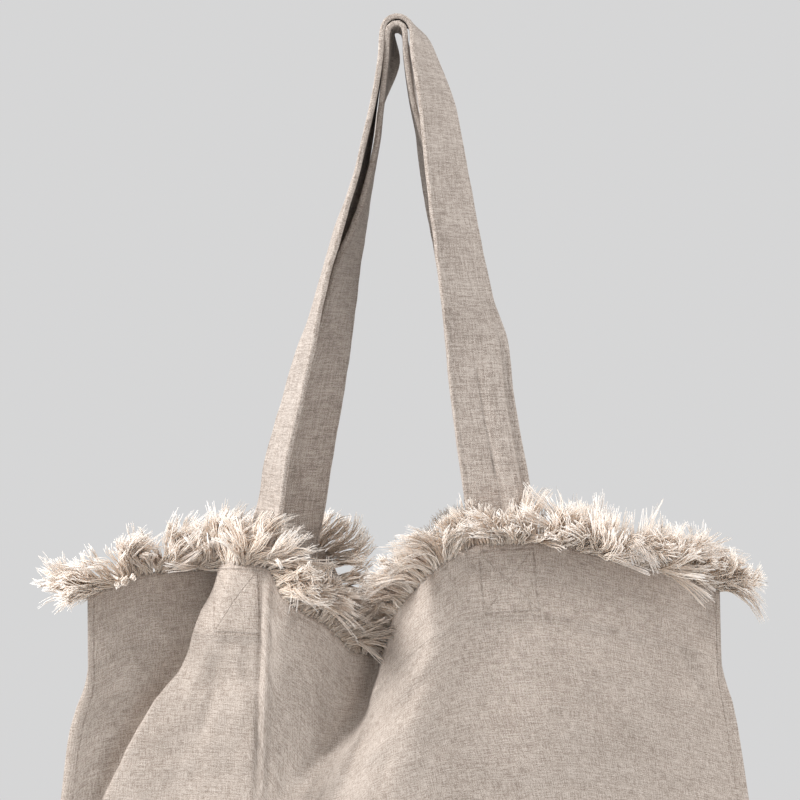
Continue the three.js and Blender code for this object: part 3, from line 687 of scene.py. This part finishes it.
def strap_piece(name, strap):
    """A handle as a closed band with a stitched, rounded edge on both sides."""
    place = np.concatenate([-STRAP_SHAPE["place"], STRAP_SHAPE["place"][-2::-1]])
    half = np.concatenate([STRAP_SHAPE["half"], STRAP_SHAPE["half"][-2::-1]])
    ring_half = np.concatenate([half, -half[::-1]])
    step, across = np.meshgrid(strap.steps, np.concatenate([place, place[::-1]]), indexing="ij")
    spots, outward = strap.at(across, step)
    points = spots + outward * ring_half[None, :, None]
    rows, ring = points.shape[:2]
    i, k = np.meshgrid(np.arange(rows - 1) * ring, np.arange(ring), indexing="ij")
    nxt = (k + 1) % ring
    quads = np.stack([i + k, i + ring + k, i + ring + nxt, i + nxt], axis=-1).reshape(-1, 4)
    k = np.arange(len(place) - 1)
    cap = np.stack([k, k + 1, ring - 2 - k, ring - 1 - k], axis=-1)
    faces = np.concatenate([quads, cap, (cap + (rows - 1) * ring)[:, ::-1]])
    cloth = np.stack([across, step, np.broadcast_to(ring_half, step.shape)], axis=-1)
    return make_mesh(name, points, faces.tolist(), cloth=cloth * MM)


def stitch_points(spots, faces, lift):
    """Stitches along a line: points and triangles of little pointed bars laid on the cloth."""
    lengths = travelled(spots)
    count = max(1, int(lengths[-1] / STITCH_PITCH))
    middle = (np.arange(count) + 0.5) * lengths[-1] / count

    def along(values, where):
        return np.stack([np.interp(where, lengths, values[:, axis]) for axis in range(3)], axis=1)

    up = unit(along(faces, middle))
    way = unit(along(spots, middle + 0.5) - along(spots, middle - 0.5))
    side = np.cross(way, up) * STITCH_THICK
    centre = along(spots, middle) + up * lift
    reach, sink, rise = way * STITCH_LONG / 2, up * STITCH_SINK, up * STITCH_THICK
    corners = [-reach - sink, reach - sink, side, -side, rise, -rise]
    points = np.stack([centre + corner for corner in corners], axis=1).reshape(-1, 3)
    shape = np.array([
        [0, 4, 2], [0, 2, 5], [0, 5, 3], [0, 3, 4],
        [1, 2, 4], [1, 5, 2], [1, 3, 5], [1, 4, 3]])
    return points, (np.arange(count)[:, None, None] * len(corners) + shape).reshape(-1, 3)


def stitch_piece(name, rows):
    """All rows of stitches of one piece in one mesh."""
    points, faces, start = [], [], 0
    for spots, shape in rows:
        points.append(spots)
        faces.append(shape + start)
        start += len(spots)
    return make_mesh(name, np.concatenate(points), np.concatenate(faces).tolist())


def panel_stitches(name, panel):
    """The hem's row, the boxes with a cross that hold the handles, and the side seams' rows."""
    hem = HEM_DROP - HEM_ROW
    lines = [((HEM_ROW, hem), (PANEL_WIDTH - HEM_ROW, hem))]
    for edges in panel.ends:
        low, high = min(edges) + STITCH_INSET, max(edges) - STITCH_INSET
        top, foot = BOX_INSET, HEM_DROP - BOX_INSET
        lines += [
            ((low, top), (low, foot)), ((high, top), (high, foot)), ((low, foot), (high, foot)),
            ((low, top), (high, top)), ((low, top), (high, foot)), ((high, top), (low, foot))]
    for flat in (SEAM_ROW, PANEL_WIDTH - SEAM_ROW):
        lines.append(((flat, SEAM_ROW_TOP), (flat, PANEL_DROP - SEAM_ROW_FOOT)))
    rows = []
    for start, end in lines:
        count = max(2, int(math.dist(start, end) / STITCH_STEP))
        flat, drop = np.linspace(start[0], end[0], count), np.linspace(start[1], end[1], count)
        rows.append(stitch_points(*panel.at(flat, drop), wall(np.mean(drop)) / 2 - PANEL_SINK))
    return stitch_piece(name, rows)


def strap_stitches(name, strap):
    """Rows of stitches along both edges, on both sides."""
    rows = []
    step = np.linspace(STRAP_END - STRAP_ROW_PAST, strap.length - STRAP_END + STRAP_ROW_PAST, 400)
    for place in (-STITCH_LINE, STITCH_LINE):
        spots, faces = strap.at(np.full_like(step, place), step)
        for sign in (1, -1):
            rows.append(stitch_points(spots, faces * sign, STRAP_STITCH_LIFT))
    return stitch_piece(name, rows)


def wobble(rng, count, height, rate):
    """A wave along each of count strands, with its own height, rate and phase."""
    tall = rng.uniform(*height, (count, 1))
    turns = STRAND_STEPS * rng.uniform(*rate, (count, 1))
    return tall * np.sin(turns + rng.uniform(*ANY_PHASE, (count, 1)))


def lock_values(rng, rows, locks):
    """What the plies of each lock have in common, where the locks of a tuft are much alike."""
    share = (np.arange(locks) + rng.uniform(0, 1, locks)) / locks
    flat = share * (PANEL_WIDTH + 2 * FRINGE_PAST) - FRINGE_PAST
    out, side, spread, sway, long = (
        smooth(rows["flat"], rows[key], flat) for key in ("out", "side", "spread", "sway", "long"))
    tuft = np.arange(locks) // TUFT
    tufts = tuft[-1] + 1
    lean = out + spread * rng.uniform(-1, 1, tufts)[tuft] + rng.normal(0, LOCK_LEAN, locks)
    lean = np.minimum(lean, MOST_LEAN)
    turn = side + sway * rng.uniform(-1, 1, tufts)[tuft] + rng.normal(0, LOCK_TURN, locks)
    long = long * rng.uniform(*TUFT_LONG, tufts)[tuft] * rng.uniform(*LOCK_LONG, locks)
    bend = rng.normal(0, TUFT_BEND, (tufts, 2))[tuft] + rng.normal(0, LOCK_BEND, (locks, 2))
    curl = rng.normal(0, TUFT_CURL, (tufts, 2))[tuft] + rng.normal(0, LOCK_CURL, (locks, 2))
    for shape in (bend, curl):
        shape[:, 1] = np.where(lean > LIFT_LEAN, LIFT_SHARE * np.abs(shape[:, 1]), shape[:, 1])
    tone = rng.normal(0, 1, tufts)[tuft]
    return {"flat": flat, "lean": lean, "turn": turn, "long": long, "bend": bend, "curl": curl, "tone": tone}


def ply_paths(rng, panel, ply):
    """Each ply's root, path from there and two directions across it."""
    count, t = len(ply["flat"]), STRAND_STEPS
    flat = ply["flat"] + rng.normal(0, ROOT_SCATTER, count)
    depth = rng.uniform(*ROOT_DEPTH, count)
    inside = np.clip(flat, ROOT_ROOM, PANEL_WIDTH - ROOT_ROOM)
    out = panel.at(inside, depth)[1]
    root = panel.at(flat, depth)[0] + out * rng.uniform(*ROOT_OUT, (count, 1))
    side = unit(panel.at(inside + ROOT_SPAN, depth)[0] - panel.at(inside - ROOT_SPAN, depth)[0])
    up = np.cross(side, out)
    up = unit(np.where(up[:, 2:] < 0, -up, up))
    up = unit((1 - UPRIGHT) * up + UPRIGHT * np.array([0, 0, 1.0]))
    lean = np.radians(np.minimum(ply["lean"] + rng.normal(0, PLY_LEAN, count), MOST_LEAN))[:, None]
    turn = np.radians(ply["turn"] + rng.normal(0, PLY_TURN, count))[:, None]
    long = ply["long"] * rng.uniform(*PLY_LONG, count)
    way = unit(np.cos(lean) * np.cos(turn) * up + np.sin(turn) * side + np.sin(lean) * np.cos(turn) * out)
    across = unit(np.cross(way, out + 0.01 * side))
    other = np.cross(way, across)
    bend = ply["bend"] + rng.normal(0, PLY_BEND, (count, 2))
    curl = ply["curl"] + rng.normal(0, PLY_CURL, (count, 2))
    bow = bend[:, :1] * across + bend[:, 1:] * other
    bow[:, 2] -= (SAG + LEVEL_SAG * np.hypot(way[:, 0], way[:, 1])) * rng.uniform(*SAG_SPREAD, count)
    hook = curl[:, :1] * across + curl[:, 1:] * other
    wave = wobble(rng, count, WAVE_HEIGHT, WAVE_RATE) * t**WAVE_RISE
    roll = wobble(rng, count, WAVE_HEIGHT, WAVE_RATE) * t**WAVE_RISE
    path = t[:, None] * way[:, None] + (t**2)[:, None] * bow[:, None] + (t**4)[:, None] * hook[:, None]
    path = long[:, None, None] * path + wave[..., None] * across[:, None] + roll[..., None] * other[:, None]
    return root, path, across, other


def fringe_strands(panel, rows, locks, seed):
    """Frayed yarn along the mouth edge: soft locks of plies of fibres. Gives each fibre's path, half
    thickness, tone and two directions across it."""
    rng = np.random.default_rng(seed)
    t = STRAND_STEPS
    lock = lock_values(rng, rows, locks)
    ply = {key: np.repeat(values, PLIES, axis=0) for key, values in lock.items()}
    plies = ply_paths(rng, panel, ply)
    root, path, across, other = (np.repeat(values, FIBRES, axis=0) for values in plies)
    count = len(path)
    angle = rng.uniform(0, 2 * math.pi, count)[:, None]
    radius = np.sqrt(rng.uniform(0, 1, count))[:, None]
    spread = radius * (PLY_ROOT + PLY_WIDER * np.sqrt(t) + rng.uniform(0, PLY_FRAY, (count, 1)) * t**3)
    kink = wobble(rng, count, KINK_HEIGHT, KINK_RATE)
    path = path * rng.uniform(*FIBRE_LONG, (count, 1, 1)) + root[:, None]
    path = path + (spread * np.cos(angle) + kink * t)[..., None] * across[:, None]
    path = path + (spread * np.sin(angle))[..., None] * other[:, None]
    for limit in FRINGE_ROOM:
        sign = np.sign(limit)
        past = np.maximum(sign * path[..., 1] - (sign * limit - FRINGE_EASE), 0)
        path[..., 1] -= sign * (past - FRINGE_EASE * (1 - np.exp(-past / FRINGE_EASE)))
    thick = rng.uniform(*FIBRE_THICK, (count, 1)) * np.interp(t, [0, TIP_START, 1], [1.0, 1.0, TIP_SHARE])
    ply_tone = 0.5 + LOCK_TONE * ply["tone"] + PLY_TONE * rng.normal(0, 1, len(ply["tone"]))
    tone = np.repeat(ply_tone, FIBRES) + FIBRE_TONE * rng.normal(0, 1, count)
    return path, thick, np.clip(tone, 0, 1), across, other


def fringe_piece(name, path, thick, tone, across, other):
    """Strands as thin three-sided tubes in one mesh."""
    count, parts = len(path), STRAND_PARTS
    points = []
    for corner in range(3):
        angle = 2 * math.pi * corner / 3
        offset = math.cos(angle) * across + math.sin(angle) * other
        points.append(path + thick[..., None] * offset[:, None])
    points = np.stack(points, axis=2)
    base = np.arange(count)[:, None, None] * (parts + 1) * 3
    i, k = np.meshgrid(np.arange(parts) * 3, np.arange(3), indexing="ij")
    nxt = (k + 1) % 3
    sides = np.stack([i + k, i + nxt, i + 3 + nxt, i + 3 + k], axis=-1).reshape(-1, 4)
    caps = np.array([[0, 2, 1], [parts * 3, parts * 3 + 1, parts * 3 + 2]])
    faces = (base + sides).reshape(-1, 4).tolist() + (base + caps).reshape(-1, 3).tolist()
    marks = np.zeros(points.shape)
    marks[..., 0] = tone[:, None, None]
    # Place along the strand, which the yarn uses to paint shade at the roots.
    marks[..., 1] = STRAND_STEPS[None, :, None]
    return make_mesh(name, points, faces, tone=marks)


class Nodes:
    """Short ways to add shader nodes. inputs: values of the main shader, with _ for each space."""

    def __init__(self, name, **inputs):
        self.material = bpy.data.materials.new(name)
        self.material.use_nodes = True
        self.tree = self.material.node_tree
        self.shader = self.tree.nodes["Principled BSDF"]
        for key, value in inputs.items():
            self.shader.inputs[key.replace("_", " ")].default_value = value

    def add(self, kind, inputs=(), **settings):
        node = self.tree.nodes.new(kind)
        for key, value in settings.items():
            setattr(node, key, value)
        for key, value in dict(inputs).items():
            if isinstance(value, bpy.types.NodeSocket):
                self.tree.links.new(value, node.inputs[key])
            else:
                node.inputs[key].default_value = value
        return node

    def to_shader(self, source, key):
        self.tree.links.new(source, self.shader.inputs[key])

    def split(self, mark):
        """A mark of the mesh, and its first two numbers."""
        place = self.add("ShaderNodeAttribute", attribute_name=mark).outputs["Vector"]
        parts = self.add("ShaderNodeSeparateXYZ", {0: place}).outputs
        return place, parts[0], parts[1]

    def noise(self, place, stretch, detail):
        moved = self.add("ShaderNodeVectorMath", {0: place, 1: stretch}, operation="MULTIPLY")
        found = self.add("ShaderNodeTexNoise", {"Vector": moved.outputs[0], "Scale": 1.0, "Detail": detail})
        return found.outputs["Fac"]

    def maths(self, operation, a, b=0.0):
        return self.add("ShaderNodeMath", {0: a, 1: b}, operation=operation).outputs[0]

    def plus(self, a, b):
        return self.maths("ADD", a, b)

    def minus(self, a, b):
        return self.maths("SUBTRACT", a, b)

    def times(self, a, b):
        return self.maths("MULTIPLY", a, b)

    def apart(self, a, b):
        return self.maths("ABSOLUTE", self.minus(a, b))

    def ramp(self, value, stops):
        node = self.add("ShaderNodeValToRGB", {"Fac": value})
        ramp = node.color_ramp
        while len(ramp.elements) < len(stops):
            ramp.elements.new(0.5)
        for element, (place, colour) in zip(ramp.elements, stops):
            element.position = place
            element.color = (*colour, 1)
        return node.outputs["Color"]


# Linen: noises as waves per metre across, down and through the cloth, and how much each changes the tone.
WEFT, WEFT_TONE = (170, 1450, 900), 0.23
WARP, WARP_TONE = (1450, 150, 900), 0.22
SLUB, SLUB_TONE = (30, 700, 300), 0.09
BLOTCH, BLOTCH_TONE = (40, 34, 1), 0.08
FINE, FINE_TONE = (1500, 1500, 1200), 0.38
# Needle holes along the sewn lines, where the painted shade is darkest: their noise, where it starts, how
# steeply it rises and the least shade between holes.
DASHES, DASH_START, DASH_STEEP, DASH_LEAST = (380, 380, 1), 0.4, 4.0, 0.15
TONE_STOPS = (0.41, 0.50, 0.59)
WEAVE_PITCH = 0.0011
WEAVE_HEIGHT, FINE_HEIGHT, BUMP_STRENGTH, BUMP_DISTANCE = 0.25, 0.5, 0.6, 0.0006

# Sewn lines in the linen: half width in metres, what makes the cross and the hem fainter, the painted shade
# that darkens their grooves, and their depth.
SEWN_WIDTH = 0.0008
CROSS_FAINT, CROSS_SLOPE, HEM_FAINT = 0.0003, 0.72, 0.0005
SEWN_SHADE, SEWN_DEPTH = 0.12, 1.6


def linen_material(name, tones, handle_ends=None):
    """Plain-woven linen: uneven threads both ways, soft blotches, a woven surface and, where handle ends are
    given, sewn lines, grooved and darkened with painted shade that is darkest in dashes at the needle holes.
    """
    n = Nodes(name, Roughness=0.92, Specular_IOR_Level=0.18, Sheen_Weight=0.1, Sheen_Roughness=0.5)
    place, flat, drop = n.split("cloth")
    weft, warp, slub, fine = (n.noise(place, stretch, 1.0) for stretch in (WEFT, WARP, SLUB, FINE))
    blotch = n.noise(place, BLOTCH, 3.0)
    threads = n.plus(n.times(weft, WEFT_TONE), n.times(warp, WARP_TONE))
    patches = n.plus(n.times(slub, SLUB_TONE), n.times(blotch, BLOTCH_TONE))
    total = n.plus(n.plus(threads, patches), n.times(fine, FINE_TONE))
    waves = [n.maths("SINE", n.times(way, 2 * math.pi / WEAVE_PITCH)) for way in (flat, drop)]
    height = n.plus(n.times(n.times(*waves), WEAVE_HEIGHT), n.plus(weft, warp))
    height = n.plus(height, n.times(fine, FINE_HEIGHT))
    if handle_ends:
        sewn = sewn_lines(n, flat, drop, [sum(ends) / 2 * MM for ends in handle_ends])
        # Painted shade in the sewn grooves, darkest in dashes at the needle holes.
        shade_dashes = n.times(n.minus(n.noise(place, DASHES, 0.0), DASH_START), DASH_STEEP)
        shade_dashes = n.maths("MINIMUM", n.maths("MAXIMUM", shade_dashes, DASH_LEAST), 1.0)
        total = n.minus(total, n.times(n.times(sewn, shade_dashes), SEWN_SHADE))
        height = n.minus(height, n.times(sewn, SEWN_DEPTH))
    n.to_shader(n.ramp(total, list(zip(TONE_STOPS, tones))), "Base Color")
    bump = n.add("ShaderNodeBump", {"Strength": BUMP_STRENGTH, "Distance": BUMP_DISTANCE, "Height": height})
    n.to_shader(bump.outputs["Normal"], "Normal")
    return n.material


def sewn_lines(n, flat, drop, middles):
    """1 on the rows of stitches: the hem, the side seams and the crossed boxes of the handle ends."""
    half_wide, half_tall = (STRAP_WIDTH / 2 - STITCH_INSET) * MM, (HEM_DROP / 2 - BOX_INSET) * MM
    between_ends = n.apart(flat, sum(middles) / 2)
    a = n.maths("DIVIDE", n.apart(between_ends, (middles[1] - middles[0]) / 2), half_wide)
    b = n.maths("DIVIDE", n.apart(drop, HEM_DROP / 2 * MM), half_tall)
    most = n.maths("MAXIMUM", a, b)
    box = n.times(n.apart(most, 1.0), half_wide)
    cross = n.times(n.apart(a, b), half_wide * CROSS_SLOPE)
    past = n.maths("MAXIMUM", n.minus(most, 1.0), 0.0)
    near = n.maths("MINIMUM", box, n.plus(n.plus(cross, CROSS_FAINT), past))
    hem = n.plus(n.apart(drop, (HEM_DROP - HEM_ROW) * MM), HEM_FAINT)
    seam = n.apart(n.apart(flat, PANEL_WIDTH / 2 * MM), (PANEL_WIDTH / 2 - SEAM_GROOVE) * MM)
    near = n.maths("MINIMUM", near, n.maths("MINIMUM", hem, seam))
    return n.maths("MAXIMUM", n.minus(1.0, n.maths("DIVIDE", near, SEWN_WIDTH)), 0.0)


def yarn_material(name, tones, strand_share=0.75):
    """Soft yarn that lets light through. Its tone changes at random from strand to strand, and along each
    strand painted shade makes it darker at the root, fading out towards the tip.
    """
    n = Nodes(
        name, Roughness=0.85, Specular_IOR_Level=0.1,
        Subsurface_Weight=0.8, Subsurface_Radius=(0.002, 0.002, 0.002), Subsurface_Scale=1.0)
    _, strand, along = n.split("tone")
    # The rest of the tone runs along the strand as painted shade: darkest at the root, none at the tip.
    value = n.plus(n.times(strand, strand_share), n.times(along, 1 - strand_share))
    n.to_shader(n.ramp(value, list(zip((0.05, 0.45, 0.95), tones))), "Base Color")
    return n.material


def plain_material(name, colour, roughness, change):
    """One colour that varies a little from place to place."""
    n = Nodes(name, Roughness=roughness)
    place = n.add("ShaderNodeTexCoord").outputs["Object"]
    low = tuple(c * (1 - change) for c in colour)
    n.to_shader(n.ramp(n.noise(place, (3, 3, 3), 3.0), ((0.35, low), (0.65, colour))), "Base Color")
    return n.material


# Colours. Tones run from dark to light.
LINEN_TONES = (0.272, 0.222, 0.186), (0.43, 0.365, 0.316), (0.572, 0.504, 0.45)
STRAP_TONES = (0.236, 0.195, 0.166), (0.388, 0.331, 0.29), (0.522, 0.463, 0.414)
# The yarn's dark end also gives the painted shade at the strand roots, and the light end the unshaded tips.
YARN_TONES = (0.66, 0.475, 0.35), (0.83, 0.665, 0.53), (0.90, 0.77, 0.655)
THREAD_COLOUR = (0.50, 0.43, 0.375)
FLOOR_COLOUR = (0.66, 0.66, 0.66)
WORLD_COLOUR = (0.672, 0.672, 0.675)

front = Panel(FRONT_FOLDS, -1, FRONT_CREASES, seed=11)
back = Panel(BACK_FOLDS, 1, BACK_CREASES, seed=23)
inner_radius = HOOK_RADIUS + STRAP_THICK / 2
outer_radius = inner_radius + STRAP_THICK + STRAP_NEST
front_handle = Strap(FRONT_STRAP, front, outer_radius, seed=5, creases=STRAP_CREASES)
back_handle = Strap(BACK_STRAP, back, inner_radius, seed=6)

front_linen = linen_material("front linen", LINEN_TONES, front.ends)
back_linen = linen_material("back linen", LINEN_TONES, back.ends)
strap_linen = linen_material("strap linen", STRAP_TONES)
yarn = yarn_material("fringe yarn", YARN_TONES)
thread = plain_material("sewing thread", THREAD_COLOUR, roughness=0.85, change=0.2)


def place_piece(piece, material, node=None):
    piece.data.materials.append(material)
    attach(piece, "root")
    if node:
        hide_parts(node)
    return piece


def place_yarn(name, strands, pieces, node):
    """A fringe, its strands dealt out over a few pieces."""
    placed = []
    for i in range(pieces):
        piece = fringe_piece(f"{name}_{i}", *[part[i::pieces] for part in strands])
        placed.append(place_piece(piece, yarn, node))
    return placed


front_cloth = place_piece(panel_piece("front_cloth", front), front_linen, "front_panel")
back_cloth = place_piece(panel_piece("back_cloth", back), back_linen, "back_panel")
front_grip = place_piece(strap_piece("front_handle", front_handle), strap_linen, "front_strap")
back_grip = place_piece(strap_piece("back_handle", back_handle), strap_linen, "back_strap")
front_strands = fringe_strands(front, FRONT_FRINGE, FRONT_LOCKS, seed=47)
back_strands = fringe_strands(back, BACK_FRINGE, BACK_LOCKS, seed=42)
front_yarn = place_yarn("front_yarn", front_strands, pieces=3, node="front_fringe")
back_yarn = place_yarn("back_yarn", back_strands, pieces=2, node="back_fringe")
front_sewing = place_piece(panel_stitches("front_sewing", front), thread)
back_sewing = place_piece(panel_stitches("back_sewing", back), thread)
front_grip_sewing = place_piece(strap_stitches("front_handle_sewing", front_handle), thread)
back_grip_sewing = place_piece(strap_stitches("back_handle_sewing", back_handle), thread)

# Floor, light and camera, in metres.
FLOOR_HALF, FLOOR_LEVEL = 2.4, -0.95
floor_mesh = bpy.data.meshes.new("floor")
floor_mesh.from_pydata(
    [(x * FLOOR_HALF, y * FLOOR_HALF, FLOOR_LEVEL) for x, y in ((-1, -1), (1, -1), (1, 1), (-1, 1))],
    [], [(0, 1, 2, 3)])
floor_mesh.materials.append(plain_material("pale floor", FLOOR_COLOUR, roughness=0.9, change=0.02))
floor = add_object("floor", floor_mesh)

world = bpy.data.worlds.new("studio")
world.use_nodes = True
background = world.node_tree.nodes["Background"].inputs
background["Color"].default_value = (*WORLD_COLOUR, 1)
background["Strength"].default_value = 1.0
bpy.context.scene.world = world
bpy.context.scene.view_settings.view_transform = "Standard"


def soft_light(name, spot, target, size, energy):
    light = bpy.data.lights.new(name, "AREA")
    light.shape = "DISK"
    light.size = size
    light.energy = energy
    way = unit(np.array(target) - np.array(spot))
    lamp = add_object(name, light)
    lamp.location = spot
    lamp.rotation_euler = (math.acos(-way[2]), 0, math.atan2(way[1], way[0]) - math.pi / 2)


soft_light("key", spot=(-1.60, -0.72, 1.10), target=(0, 0, -0.38), size=0.9, energy=77)
soft_light("fill", spot=(2.2, -0.4, 0.15), target=(0, 0, -0.25), size=1.2, energy=34)

camera_data = bpy.data.cameras.new("camera")
camera_data.sensor_width = 36
camera_data.lens = 137.7
camera = add_object("camera", camera_data)
camera.location = (0.0018, -1.8, -0.218)
camera.rotation_euler = (math.pi / 2, 0, 0)
bpy.context.scene.camera = camera
